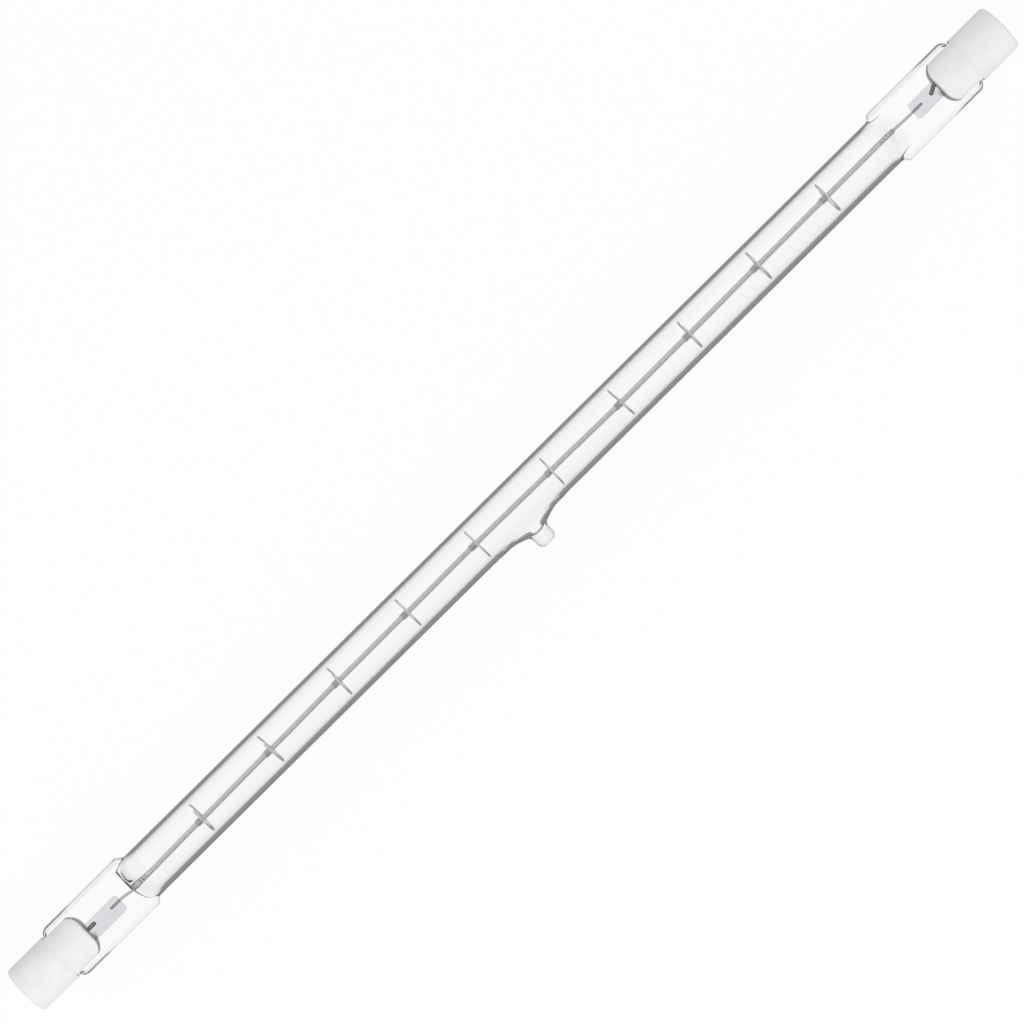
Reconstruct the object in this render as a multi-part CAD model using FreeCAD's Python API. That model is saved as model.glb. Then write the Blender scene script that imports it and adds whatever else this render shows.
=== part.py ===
import FreeCAD, Part
import math
import os

# Double-ended halogen lamp with a recessed contact at each end. All sizes are in millimetres.
# The lamp is drawn along X, about the middle of its own axis. Its flat pinch seals lie in the XY plane
# and its exhaust tip points to -Y. At the end the lamp is rolled about X, until the tip and the
# ceramic caps lie on one level surface, as a lamp does when it is put down.

# Whole lamp
overall_length = 189.1

# Quartz tube
tube_diameter = 7.25
tube_wall = 0.6

# Pinch seals, where the tube is pressed flat
pinch_length = 15.1
pinch_width = 8.8
pinch_bead_thickness = 2.8
pinch_bead_width = 0.9
pinch_bead_radius = 0.6
pinch_web_thickness = 2.4
pinch_corner_radius = 1.2
shoulder_radius = 0.9
dome_length = 3.0
cavity_depth_in_pinch = 1.9

# Exhaust tip, the sealed stub of the tube through which the lamp was filled
tip_offset = 0.4
tip_diameter = 2.9
tip_reach = 6.86
tip_end_radius = 1.0
tip_flare_length = 7.4
tip_flare_width = 4.2
tip_flare_height = 1.5
tip_bore_diameter = 1.8
tip_bore_reach = 4.7
tip_funnel_length = 9.2
tip_funnel_width = 3.2
tip_funnel_depth = 0.5

# Ceramic caps
cap_diameter = 7.45
cap_length = 12.1
cap_edge_chamfer = 0.5
tongue_length = 5.0
tongue_corner_radius = 2.0
recess_diameter = 4.2
recess_depth = 1.7

# Basing cement, between the cap's slot and the pinch
cement_gap = 0.15
cement_floor = 0.3
cement_setback = 0.9
cement_width = 6.4

# Contact buttons, flush with the floor of the recess
contact_diameter = 3.4
contact_thickness = 0.8
contact_shank_diameter = 1.6
contact_shank_length = 2.0
contact_clearance = 0.05

# Foils and leads
foil_width = 2.7
foil_thickness = 0.05
foil_under_tongue = 0.3
left_foil_offset = -0.5
left_lead_in_glass = 2.1
right_lead_in_glass = 3.3
weld_length = 1.8
weld_flat_depth = 0.08
inner_lead_diameter = 0.4
outer_lead_diameter = 0.6

# Filament coil
coil_diameter = 0.8
coil_wire_diameter = 0.18
coil_end_gap = 0.2
coil_on_lead = 3.0
coil_room = 0.08

# Filament supports
support_count = 10
support_end_gap = 10.6
support_gap_at_tip = 14.5
support_wire_diameter = 0.22
support_clamp_length = 1.3
support_wall_clearance = 0.5
support_bend_length = 0.35
support_ring_sweep_deg = 285.0
support_lean_deg = (55.0, 65.0, 60.0, 0.0, 10.0, 50.0, 60.0, 55.0, 0.0, 10.0)

# Resolution of the drawing
dome_sections = 3
flare_sections = 3
ring_runs = 17
clamp_sides = 12
wire_sides = 6

# Worked-out sizes, used by several pieces
tube_radius = tube_diameter / 2
bore_radius = tube_radius - tube_wall
cap_radius = cap_diameter / 2
coil_radius = coil_diameter / 2
end_x = overall_length / 2
tongue_end_x = end_x - cap_length
pinch_outer_x = tongue_end_x + tongue_length
pinch_inner_x = pinch_outer_x - pinch_length
cavity_end_x = pinch_inner_x + cavity_depth_in_pinch
dome_x = cavity_end_x - dome_length
cavity_end_height = coil_radius + coil_room
foil_outer_x = tongue_end_x + foil_under_tongue
coil_end_x = cavity_end_x - coil_end_gap
recess_floor_x = end_x - recess_depth
seat_x = recess_floor_x - contact_thickness
slot_floor_x = pinch_outer_x + cement_floor
slot_thickness = pinch_bead_thickness + 2 * cement_gap
foil_top_z = weld_flat_depth - inner_lead_diameter / 2
outer_lead_z = foil_top_z - weld_flat_depth + outer_lead_diameter / 2

ORIGIN = FreeCAD.Vector(0, 0, 0)
ALONG_X = FreeCAD.Vector(1, 0, 0)
ACROSS_LAMP = FreeCAD.Rotation(FreeCAD.Vector(0, 1, 0), FreeCAD.Vector(0, 0, 1), ALONG_X, "XYZ")
TOWARDS_TIP = FreeCAD.Rotation(ALONG_X, FreeCAD.Vector(0, 0, 1), FreeCAD.Vector(0, -1, 0), "XYZ")
MITRED = 1


def point(x, y, z):
    return FreeCAD.Vector(x, y, z)


def rod(diameter, start_x, stop_x, z=0.0):
    """Round bar along X."""
    return Part.makeCylinder(diameter / 2, stop_x - start_x, point(start_x, 0, z), ALONG_X)


def block(start_x, stop_x, width, low_z, high_z):
    """Rectangular block, centred across the lamp."""
    size = point(stop_x - start_x, width, high_z - low_z)
    return Part.makeBox(size.x, size.y, size.z, point(start_x, -width / 2, low_z))


def oval(half_width, half_height, place, turn):
    """Closed oval, at a place and in a plane."""
    edge = Part.Ellipse(ORIGIN, half_width, half_height).toShape()
    edge.Placement = FreeCAD.Placement(place, turn)
    return Part.Wire([edge])


def arc(centre, radius, start_deg, stop_deg):
    """Arc in the XY plane about a centre."""
    def at(angle_deg):
        angle = math.radians(angle_deg)
        return centre + point(radius * math.cos(angle), radius * math.sin(angle), 0)

    return Part.Arc(at(start_deg), at((start_deg + stop_deg) / 2), at(stop_deg)).toShape()


def line(start, stop):
    return Part.LineSegment(start, stop).toShape()


def plate(edges, thickness):
    """Flat plate with an outline in the XY plane, centred on that plane."""
    face = Part.Face(Part.Wire(Part.sortEdges(edges)[0]))
    face.translate(point(0, 0, -thickness / 2))
    return face.extrude(point(0, 0, thickness))


def mirrored(shape):
    """The same piece at the other end of the lamp."""
    return shape.mirror(ORIGIN, ALONG_X)


def pinch_section():
    """Cross-section of a pinch: a thin web between two thicker rounded edge beads."""
    half = pinch_width / 2
    bead = pinch_bead_thickness / 2
    web = pinch_web_thickness / 2
    flat = half - pinch_bead_width
    corner = half - pinch_bead_radius
    low = bead - pinch_bead_radius
    step = flat + bead - web
    corners = [point(-flat, web, 0), point(flat, web, 0), point(step, bead, 0), point(corner, bead, 0)]
    quarter = arc(point(corner, low, 0), pinch_bead_radius, 90, 0)
    upper = [line(corners[i], corners[i + 1]) for i in range(3)] + [quarter]
    side = line(point(half, low, 0), point(half, -low, 0))
    right = upper[1:] + [side] + [edge.mirror(ORIGIN, point(0, 1, 0)) for edge in upper[1:]]
    left = [edge.mirror(ORIGIN, ALONG_X) for edge in right]
    floor = upper[0].mirror(ORIGIN, point(0, 1, 0))
    return Part.Wire(Part.sortEdges([upper[0], floor] + right + left)[0])


def pinch_plan():
    """Outline of a pinch from above: rounded outer corners, and a shoulder that runs into the tube."""
    half = pinch_width / 2
    corner_x = pinch_outer_x - pinch_corner_radius
    corner_y = half - pinch_corner_radius
    foot_y = half - 2 * shoulder_radius
    foot_x = pinch_inner_x - 2 * shoulder_radius
    upper = [
        line(point(pinch_outer_x, 0, 0), point(pinch_outer_x, corner_y, 0)),
        arc(point(corner_x, corner_y, 0), pinch_corner_radius, 0, 90),
        line(point(corner_x, half, 0), point(pinch_inner_x, half, 0)),
        arc(point(pinch_inner_x, half - shoulder_radius, 0), shoulder_radius, 90, 180),
        arc(point(foot_x, half - shoulder_radius, 0), shoulder_radius, 0, -90),
        line(point(foot_x, foot_y, 0), point(foot_x, 0, 0)),
    ]
    return upper + [edge.mirror(ORIGIN, point(0, 1, 0)) for edge in upper]


def pinch():
    """One flat pinch seal, at the +X end."""
    section = pinch_section()
    section.Placement = FreeCAD.Placement(point(dome_x, 0, 0), ACROSS_LAMP)
    bar = Part.Face(section).extrude(point(pinch_outer_x - dome_x, 0, 0))
    return bar.common(plate(pinch_plan(), pinch_bead_thickness))


def dome(radius, end_height, profile):
    """The tube as it is pressed from round to flat. The profile goes from 1 to 0 over that length."""
    wires = []
    for i in range(dome_sections + 1):
        share = i / dome_sections
        height = end_height + (radius - end_height) * profile(share)
        wires.append(oval(radius, height, point(dome_x + share * dome_length, 0, 0), ACROSS_LAMP))
    return Part.makeLoft(wires, True, True)


def dome_outside():
    """Outer wall of the pressed tube, round at its shoulder, down into the pinch's web."""
    return dome(tube_radius, pinch_web_thickness / 4, lambda share: math.cos(share * math.pi / 2))


def dome_inside():
    """The bore as it closes to a flat slit, just high enough for the coil's end."""
    return dome(bore_radius, cavity_end_height, lambda share: (1 + math.cos(share * math.pi)) / 2)


def flare(start_y, stop_y, start_size, stop_radius):
    """Funnel towards the tip: an oval on the tube that narrows to a round neck along a hollow curve."""
    wires = []
    for i in range(flare_sections + 1):
        share = i / flare_sections
        left = 1 - math.sin(share * math.pi / 2)
        half_length = stop_radius + (start_size[0] / 2 - stop_radius) * left
        half_width = stop_radius + (start_size[1] / 2 - stop_radius) * left
        place = point(tip_offset, -start_y - (stop_y - start_y) * share, 0)
        wires.append(oval(half_length, half_width, place, TOWARDS_TIP))
    return Part.makeLoft(wires, True, True)


def tip_outside():
    """Outer form of the exhaust tip: a flared foot and a stub with a melted, rounded end."""
    foot_y = math.sqrt(tube_radius**2 - (tip_flare_width / 2) ** 2)
    neck_y = tube_radius + tip_flare_height
    radius = tip_diameter / 2
    foot = flare(foot_y, neck_y, (tip_flare_length, tip_flare_width), radius)
    start = point(tip_offset, -bore_radius, 0)
    stub = Part.makeCylinder(radius, tip_reach - bore_radius, start, point(0, -1, 0))
    end = min(stub.Edges, key=lambda edge: edge.CenterOfMass.y)
    return foot.fuse(stub.makeFillet(tip_end_radius, [end]))


def tip_inside():
    """Hollow of the exhaust tip: a funnel from the tube's bore to where the stub is melted shut."""
    mouth_y = bore_radius - tip_funnel_depth
    mouth = (tip_funnel_length, tip_funnel_width)
    return flare(mouth_y, tip_bore_reach, mouth, tip_bore_diameter / 2)


def quartz_envelope(sealed_in):
    """Tube, pinches and tip as one piece of quartz, moulded round the pieces sealed into it."""
    outside = rod(tube_diameter, -dome_x, dome_x)
    for end in (dome_outside(), pinch()):
        outside = outside.fuse(end).fuse(mirrored(end))
    outside = outside.fuse(tip_outside())
    inside = rod(2 * bore_radius, -dome_x, dome_x)
    inside = inside.fuse(dome_inside()).fuse(mirrored(dome_inside())).fuse(tip_inside())
    return outside.cut(inside).cut(sealed_in)


def weld_side(start_x, stop_x):
    """Space on the foil's side of a weld, where a lead is flattened."""
    return block(start_x, stop_x, foil_width, foil_top_z - outer_lead_diameter, foil_top_z)


def inner_lead(lead_in_glass):
    """Wire from the foil into the coil, flattened where it is welded to the foil."""
    foil_inner_x = cavity_end_x + lead_in_glass
    wire = rod(inner_lead_diameter, coil_end_x - coil_on_lead, foil_inner_x + weld_length)
    return wire.cut(weld_side(foil_inner_x, foil_outer_x))


def outer_lead():
    """Wire from the foil to the contact, flattened where it is welded to the foil."""
    weld_x = foil_outer_x - weld_length
    wire = rod(outer_lead_diameter, weld_x, seat_x - contact_shank_length, outer_lead_z)
    return wire.cut(weld_side(weld_x, foil_outer_x))


def foil(lead_in_glass, offset):
    """Thin strip that carries the current through the seal. It can lie off the lamp's axis."""
    start_x = cavity_end_x + lead_in_glass
    strip = block(start_x, foil_outer_x, foil_width, foil_top_z - foil_thickness, foil_top_z)
    strip.translate(point(0, offset, 0))
    return strip


def cap_outside():
    """Outer form of a ceramic cap: a round body with a softened end, and rounded tongue corners."""
    body = rod(cap_diameter, tongue_end_x, end_x)
    rim = max(body.Edges, key=lambda edge: edge.CenterOfMass.x)
    corner_x = tongue_end_x + tongue_corner_radius
    corner_y = cap_radius - tongue_corner_radius
    upper = [
        line(point(tongue_end_x, 0, 0), point(tongue_end_x, corner_y, 0)),
        arc(point(corner_x, corner_y, 0), tongue_corner_radius, 180, 90),
        line(point(corner_x, cap_radius, 0), point(end_x, cap_radius, 0)),
        line(point(end_x, cap_radius, 0), point(end_x, 0, 0)),
    ]
    plan = upper + [edge.mirror(ORIGIN, point(0, 1, 0)) for edge in upper]
    return body.makeChamfer(cap_edge_chamfer, [rim]).common(plate(plan, cap_diameter))


def slot():
    """Room for the pinch between a cap's two tongues."""
    return block(tongue_end_x, slot_floor_x, pinch_width, -slot_thickness / 2, slot_thickness / 2)


def ceramic_cap():
    """Cap with the slot for the pinch, a stepped hole for the contact and the recess in its end."""
    recess = rod(recess_diameter, recess_floor_x, end_x)
    seat = rod(contact_diameter + 2 * contact_clearance, seat_x, recess_floor_x)
    hole = rod(contact_shank_diameter + 2 * contact_clearance, slot_floor_x, seat_x)
    return cap_outside().cut([slot(), recess, seat, hole])


def cement(lead):
    """Cement that fills the slot round the pinch and the lead, a little short of the tongues' ends."""
    start_x = tongue_end_x + cement_setback
    fill = block(start_x, slot_floor_x, cement_width, -slot_thickness / 2, slot_thickness / 2)
    return fill.cut([pinch(), lead])


def contact():
    """Contact button with a shank, to whose end the lead is welded."""
    head = rod(contact_diameter, seat_x, recess_floor_x)
    shank = rod(contact_shank_diameter, seat_x - contact_shank_length, seat_x)
    return head.fuse(shank)


def filament():
    """The coil's turns as one sleeve, open along its middle, where the inner leads enter it."""
    bore = rod(coil_diameter - 2 * coil_wire_diameter, -coil_end_x, coil_end_x)
    return rod(coil_diameter, -coil_end_x, coil_end_x).cut(bore)


def support_route(x):
    """Points of a support's free wire: an arm out from the coil, a bend, and an open ring in short runs."""
    ring = bore_radius - support_wall_clearance - support_wire_diameter / 2
    bend_deg = math.degrees(support_bend_length / ring)
    step_deg = support_ring_sweep_deg / ring_runs
    route = [point(x, coil_radius, 0), point(x, ring - support_bend_length, 0)]
    for i in range(ring_runs + 1):
        angle = math.radians(bend_deg + step_deg * i)
        route.append(point(x, ring * math.cos(angle), ring * math.sin(angle)))
    return route


def polygon_bar(points, along):
    """Straight bar with a many-sided section."""
    return Part.Face(Part.makePolygon(points + points[:1])).extrude(along)


def around_axis(x, sides, inner_radius):
    """Corners of an even polygon round the lamp's axis, whose sides lie at a radius."""
    radius = inner_radius / math.cos(math.pi / sides)
    angles = [2 * math.pi * i / sides for i in range(sides)]
    return [point(x, radius * math.cos(angle), radius * math.sin(angle)) for angle in angles]


def support(x, lean_deg):
    """Wire support: tight turns on the coil, then an arm and a ring that keeps the coil off the wall."""
    route = support_route(x - support_wire_diameter / 2)
    radius = support_wire_diameter / 2
    angles = [2 * math.pi * i / wire_sides for i in range(wire_sides)]
    section = [route[0] + point(radius * math.cos(a), 0, radius * math.sin(a)) for a in angles]
    profile = Part.makePolygon(section + section[:1])
    free_wire = Part.makePolygon(route).makePipeShell([profile], True, False, MITRED)
    clamp_start = x - support_clamp_length
    clamp_length = point(support_clamp_length, 0, 0)
    wound_radius = coil_radius + support_wire_diameter
    turns = polygon_bar(around_axis(clamp_start, clamp_sides, wound_radius), clamp_length)
    grip = polygon_bar(around_axis(clamp_start, clamp_sides, coil_radius), clamp_length)
    whole = turns.fuse(free_wire).cut(grip)
    whole.rotate(ORIGIN, ALONG_X, lean_deg)
    return whole


def support_stations():
    """Places of the supports along X: an even pitch in the round tube, with a wider gap at the tip."""
    half_count = support_count // 2
    first = support_gap_at_tip / 2
    pitch = (dome_x - support_end_gap - first) / (half_count - 1)
    steps = [first + pitch * i for i in range(half_count)]
    return [tip_offset - step for step in reversed(steps)] + [tip_offset + step for step in steps]


def rest_roll_deg():
    """Roll about X at which the tip's rounded end is as low as the caps or the tube."""
    lowest = max(cap_radius, tube_radius) - tip_end_radius
    reach = tip_reach - tip_end_radius
    side = tip_diameter / 2 - tip_end_radius
    return math.degrees(math.asin(lowest / math.hypot(reach, side)) - math.atan2(side, reach))


def build():
    """Every piece by name, in the lamp's own frame."""
    sealed_in = {
        "left_inner_lead": mirrored(inner_lead(left_lead_in_glass)),
        "left_foil": mirrored(foil(left_lead_in_glass, left_foil_offset)),
        "left_outer_lead": mirrored(outer_lead()),
        "right_inner_lead": inner_lead(right_lead_in_glass),
        "right_foil": foil(right_lead_in_glass, 0),
        "right_outer_lead": outer_lead(),
    }
    pieces = {"quartz_envelope": quartz_envelope(list(sealed_in.values())), "filament": filament()}
    for number, (x, lean) in enumerate(zip(support_stations(), support_lean_deg), start=1):
        pieces[f"filament_support_{number:02d}"] = support(x, lean)
    pieces.update(sealed_in)
    end_pieces = {"ceramic_cap": ceramic_cap(), "cement": cement(outer_lead()), "contact": contact()}
    for name, piece in end_pieces.items():
        pieces[f"left_{name}"] = mirrored(piece)
        pieces[f"right_{name}"] = piece
    return pieces


os.makedirs("parts", exist_ok=True)
roll = rest_roll_deg()
for name, piece in build().items():
    piece.rotate(ORIGIN, ALONG_X, roll)
    piece.exportStep(f"parts/{name}.step")
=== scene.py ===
import math

import bmesh
import bpy
from mathutils import Matrix, Vector

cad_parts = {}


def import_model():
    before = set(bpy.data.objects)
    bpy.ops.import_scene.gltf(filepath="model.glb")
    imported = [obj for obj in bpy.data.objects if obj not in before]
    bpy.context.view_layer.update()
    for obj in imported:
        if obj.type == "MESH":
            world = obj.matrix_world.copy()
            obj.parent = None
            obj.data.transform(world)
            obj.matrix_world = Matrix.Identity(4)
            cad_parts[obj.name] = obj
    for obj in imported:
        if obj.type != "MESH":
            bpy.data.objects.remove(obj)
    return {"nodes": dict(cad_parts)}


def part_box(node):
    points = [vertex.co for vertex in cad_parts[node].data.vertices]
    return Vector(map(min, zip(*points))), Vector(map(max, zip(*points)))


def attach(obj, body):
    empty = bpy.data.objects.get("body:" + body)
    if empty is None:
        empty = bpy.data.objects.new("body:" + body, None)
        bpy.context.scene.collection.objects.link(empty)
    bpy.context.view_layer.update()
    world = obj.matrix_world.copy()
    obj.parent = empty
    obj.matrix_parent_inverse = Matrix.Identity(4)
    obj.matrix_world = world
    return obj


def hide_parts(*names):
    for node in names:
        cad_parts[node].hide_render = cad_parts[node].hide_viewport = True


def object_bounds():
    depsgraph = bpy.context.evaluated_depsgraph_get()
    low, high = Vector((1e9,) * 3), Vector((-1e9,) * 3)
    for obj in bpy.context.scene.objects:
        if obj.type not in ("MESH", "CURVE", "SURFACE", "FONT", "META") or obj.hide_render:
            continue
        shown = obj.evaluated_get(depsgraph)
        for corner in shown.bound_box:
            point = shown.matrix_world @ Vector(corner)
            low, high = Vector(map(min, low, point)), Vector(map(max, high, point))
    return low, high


# Double-ended halogen lamp, dressed: clear quartz with melted forms, a wound filament on wound wire supports,
# foil seals, and fired ceramic caps. Sizes are in millimetres in the lamp's own frame: X along the tube,
# pinch seals in the XY plane, exhaust tip towards -Y. LAMP turns that frame to how the lamp lies, in metres.

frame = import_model()
cad_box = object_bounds()

MM = 0.001


def span_x(node):
    """Lowest and highest X of a node, in millimetres."""
    low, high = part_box(node)
    return low.x / MM, high.x / MM


def roll_of(node):
    """Angle about X by which a flat node is turned from level."""
    face = max(frame["nodes"][node].data.polygons, key=lambda polygon: polygon.area)
    upward = face.normal if face.normal.z > 0 else -face.normal
    return math.atan2(-upward.y, upward.z)


LAMP = Matrix.Rotation(roll_of("right_foil"), 4, "X") @ Matrix.Scale(MM, 4)

# Places along the lamp, from the frame
tongue_end_x, end_x = span_x("right_ceramic_cap")
pinch_outer_x = span_x("quartz_envelope")[1]
coil_end_x = span_x("filament")[1]
foil_spans = {side: span_x(f"{side}_foil") for side in ("left", "right")}
inner_lead_spans = {side: span_x(f"{side}_inner_lead") for side in ("left", "right")}
outer_lead_spans = {side: span_x(f"{side}_outer_lead") for side in ("left", "right")}
shank_end_x, contact_face_x = span_x("right_contact")
support_count = 10
stations = [span_x(f"filament_support_{i + 1:02d}")[1] for i in range(support_count)]

# Quartz tube and pinch seals
tube_radius = 3.625
tube_wall = 0.56
bore_radius = tube_radius - tube_wall
bore_offset = 0.085
pinch_length = 15.1
pinch_half_width = 4.4
pinch_bead_half = 1.4
pinch_bead_width = 0.9
pinch_bead_step = 0.6
pinch_edge_run = 0.9
pinch_edge_power = 3.0
pinch_pressed_y = 3.75
pinch_web_half = 1.21
pinch_corner_radius = 1.2
cavity_depth_in_pinch = 1.9
cavity_end_narrowing = 0.08
cavity_dome_length = 4.2
cavity_turn = 0.15
cavity_reach_share = (0.5, 1.0)
cavity_bow_power = 1.5
cavity_wedge_power = 1.5
dome_turn_y = (0.0, 1.6)
shoulder_before = 0.5
shoulder_after = 0.65
bead_before = 0.7
bead_after = 0.4

# How each end was pressed: -1 is the left one, 1 the right one, and a pair is the upper and lower side
cavity_end_half = {-1: 0.48, 1: 0.56}
cavity_end_round = {-1: 0.7, 1: 1.6}
cavity_blunt = {-1: 0.5, 1: 0.0}
cavity_reach = {-1: 0.0, 1: 0.9}
cavity_bow = {-1: (0.1, 1.0), 1: (0.4, 0.5)}
dome_length = {-1: (2.7, 4.2), 1: (4.2, 4.2)}

# Places where the envelope's form changes
pinch_inner_x = pinch_outer_x - pinch_length
cavity_end_x = pinch_inner_x + cavity_depth_in_pinch
dome_x = cavity_end_x - max(max(lengths) for lengths in dome_length.values())
cavity_dome_x = cavity_end_x - cavity_dome_length
shoulder_start_x = pinch_inner_x - shoulder_before
shoulder_stop_x = pinch_inner_x + shoulder_after
bead_start_x = pinch_inner_x - bead_before
bead_stop_x = pinch_inner_x + bead_after

# Exhaust tip: flare and funnel are half the length and half the width of their foot
tip_offset = 0.4
tip_radius = 1.45
tip_reach = 6.86
tip_end_radius = 1.0
tip_flare = (6.0, 2.1)
tip_neck_y = 4.75
tip_bore_radius = 0.9
tip_bore_neck_y = 4.15
tip_bore_reach = 4.75
tip_bore_dome_deg = 84.0
tip_funnel = (6.0, 1.7)
tip_blend = 0.4
tip_neck_share = 0.85
tip_neck_round = 0.12
tip_foot_sink = 1.5
tip_patch_half_length = 6.9

# Coil, supports and leads: offsets and sways are across the lamp, away from its axis
wire_nose = 0.45
coil_radius = 0.4
coil_wire_radius = 0.1
coil_pitch = 0.235
coil_offsets = (-0.45, -0.26, -0.12, 0.04, 0.09, 0.17, 0.06, -0.08, 0.0, 0.1, 0.17, 0.22)
support_wire_radius = 0.13
support_clamp_length = 1.3
support_clamp_turns = 6
support_clamp_wire_radius = 0.075
support_clamp_sunk = 0.035
support_clamp_reach = 0.6
support_wall_clearance = 0.5
support_ring_radius = bore_radius - support_wall_clearance - support_wire_radius
support_ring_sweep_deg = 285.0
support_bend_length = 0.35
support_lean_deg = (55.0, 65.0, 60.0, 0.0, 10.0, 50.0, 60.0, 55.0, 0.0, 10.0)
support_ring_tilt = (0.02, 0.15, 0.0, 0.04, 0.1, -0.04, 0.16, 0.0, 0.05, 0.03)
inner_lead_radius = 0.2
inner_lead_sway = {"left": -0.18, "right": 0.12}
outer_lead_radius = 0.3
outer_lead_z = 0.1
outer_lead_bend_before = 0.4
outer_lead_bend_after = 2.0
outer_lead_sway = {"left": 0.0, "right": 0.95}
foil_half_width = 1.35
foil_thickness = 0.05
foil_top_z = -0.12
foil_offsets = {"left": -0.5, "right": 0.0}
foil_corner = 0.5
foil_wave = 0.02
foil_wave_rates = (2.3, 2.1)
foil_edge_share = 0.15

# Ceramic caps and contacts
cap_radius = 3.725
cap_rim_round = 0.6
slot_half = 1.55
slot_floor_gap = 0.3
slot_floor_x = pinch_outer_x + slot_floor_gap
tongue_corner_radius = 2.4
tongue_edge_round = 0.3
recess_radius = 2.1
recess_edge_round = 0.2
contact_radius = 1.7
contact_thickness = 0.8
contact_crown = 0.18
contact_crown_share = 0.96
contact_edge_drop = 0.27
contact_middle_radius = 0.01
contact_shank_radius = 0.8
contact_room = 0.02
lead_hole_radius = 0.34

# Materials: sizes and depths in millimetres, stretches along the lamp, and ranges of roughness
tone_stops = (0.3, 0.7)
relief_depth = 0.01
quartz_index = 1.46
quartz_line_size = 0.9
quartz_line_stretch = (0.02, 1.0, 1.0)
quartz_rough = (0.0, 0.012)
quartz_relief = 0.12
pressed_cloud_size = 1.4
pressed_cloud_stretch = (0.4, 1.0, 1.0)
pressed_rough = (0.25, 0.4)
pressed_grain = 0.3
pressed_relief = 0.2
scratch_stretch = (0.2, 1.0, 1.0)
scratch_relief = 0.3
ceramic_cloud_size = 2.6
ceramic_rough = (0.45, 0.62)
ceramic_relief = 0.35
ceramic_glow = 0.15
ceramic_glow_depth = 0.6

# Photograph: the lamp's slant in the picture, its middle as a pixel, and the width of the view at the lamp
photo_pixels = 1024
photo_slant_deg = 44.7
photo_middle = (513.0, 509.0)
view_width = 141.1 * MM
lens_length = 200.0
sensor_width = 36.0

# Studio
world_light = 0.88
horizon_in_mirror = 0.8
overhead_in_mirror = 1.0
floor_in_mirror = 0.31
floor_colour = 0.98
floor_white_share = 0.94
floor_size = 6.0
floor_gap = 0.00002
key_power = 4.9
key_direction = (-0.3, -0.4, 1.0)
key_distance = 1.2
key_size = 0.8

# Fineness of the meshes, as numbers of steps, and the limits at which they are joined and shaded
around = 192
straight_rows = 12
dome_rows = 64
pinch_rows = 8
patch_columns = 27
patch_rows = 16
foot_rings = 6
flare_ring_count = 24
corner_steps = 10
turned_sides = 128
coil_points = 14
coil_sides = 6
support_sides = 8
clamp_points = 18
ring_points = 60
lead_points = 60
lead_sides = 16
tongue_corner_rows = 24
tongue_rows = 6
tongue_columns = 48
foil_corner_rows = 8
foil_rows = 30
foil_columns = 24
crown_rings = 12
stub_rings = 4
arm_points = 4
bend_points = 6
weld_distance = 0.0005
sharp_deg = 40.0


def smoothstep(value, start, stop):
    """0 before start, 1 after stop, and smooth between them."""
    share = min(1.0, max(0.0, (value - start) / (stop - start)))
    return share * share * (3 - 2 * share)


def steps(start, stop, count):
    """Even steps from start to stop, both included."""
    return [start + (stop - start) * i / count for i in range(count + 1)]


def soft_max(a, b, blend):
    """The larger of two heights, with a hollow curve where they cross."""
    return (a + b + math.hypot(a - b, blend)) / 2


def norm_max(a, b, power=8):
    """The larger of two heights that may both be zero, rounded where they are alike."""
    return (a**power + b**power) ** (1 / power)


# Materials


def new_material(name):
    """An empty material with one Principled shader, and its node tree."""
    material = bpy.data.materials.new(name)
    material.use_nodes = True
    tree = material.node_tree
    tree.nodes.clear()
    shader = tree.nodes.new("ShaderNodeBsdfPrincipled")
    output = tree.nodes.new("ShaderNodeOutputMaterial")
    tree.links.new(shader.outputs["BSDF"], output.inputs["Surface"])
    return material, tree, shader


def noise(tree, size, detail, stretch=(1.0, 1.0, 1.0)):
    """Noise whose grains measure about the given number of millimetres."""
    place = tree.nodes.new("ShaderNodeTexCoord")
    mapping = tree.nodes.new("ShaderNodeMapping")
    mapping.inputs["Scale"].default_value = stretch
    texture = tree.nodes.new("ShaderNodeTexNoise")
    texture.inputs["Scale"].default_value = 1 / (size * MM)
    texture.inputs["Detail"].default_value = detail
    tree.links.new(place.outputs["Object"], mapping.inputs["Vector"])
    tree.links.new(mapping.outputs["Vector"], texture.inputs["Vector"])
    return texture.outputs["Fac"]


def ramp(tree, factor, stops):
    """Colours along a factor: stops are (position, colour)."""
    node = tree.nodes.new("ShaderNodeValToRGB")
    elements = node.color_ramp.elements
    while len(elements) < len(stops):
        elements.new(1.0)
    for element, (position, colour) in zip(elements, stops):
        element.position = position
        element.color = (*colour, 1.0)
    tree.links.new(factor, node.inputs["Fac"])
    return node.outputs["Color"]


def two_tones(tree, factor, dark, light):
    """A dark and a light tone along a factor."""
    return ramp(tree, factor, list(zip(tone_stops, (dark, light))))


def levels(tree, factor, low, high):
    """A factor from 0 to 1 brought between two values."""
    node = tree.nodes.new("ShaderNodeMapRange")
    node.inputs["To Min"].default_value = low
    node.inputs["To Max"].default_value = high
    tree.links.new(factor, node.inputs["Value"])
    return node.outputs["Result"]


def add_bump(tree, shader, height, depth, strength):
    """Relief of a depth in millimetres."""
    node = tree.nodes.new("ShaderNodeBump")
    node.inputs["Strength"].default_value = strength
    node.inputs["Distance"].default_value = depth * MM
    tree.links.new(height, node.inputs["Height"])
    tree.links.new(node.outputs["Normal"], shader.inputs["Normal"])


def glass(name, painted_edge_shade_stops):
    """Quartz glass with painted edge shade: its colour darkens along the stops where it is seen edge-on, in
    place of dark reflections along its edges.
    """
    material, tree, shader = new_material(name)
    shader.inputs["Transmission Weight"].default_value = 1.0
    shader.inputs["IOR"].default_value = quartz_index
    edge = tree.nodes.new("ShaderNodeLayerWeight")
    edge.inputs["Blend"].default_value = 0.5
    tree.links.new(ramp(tree, edge.outputs["Facing"], painted_edge_shade_stops), shader.inputs["Base Color"])
    return material, tree, shader


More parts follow.
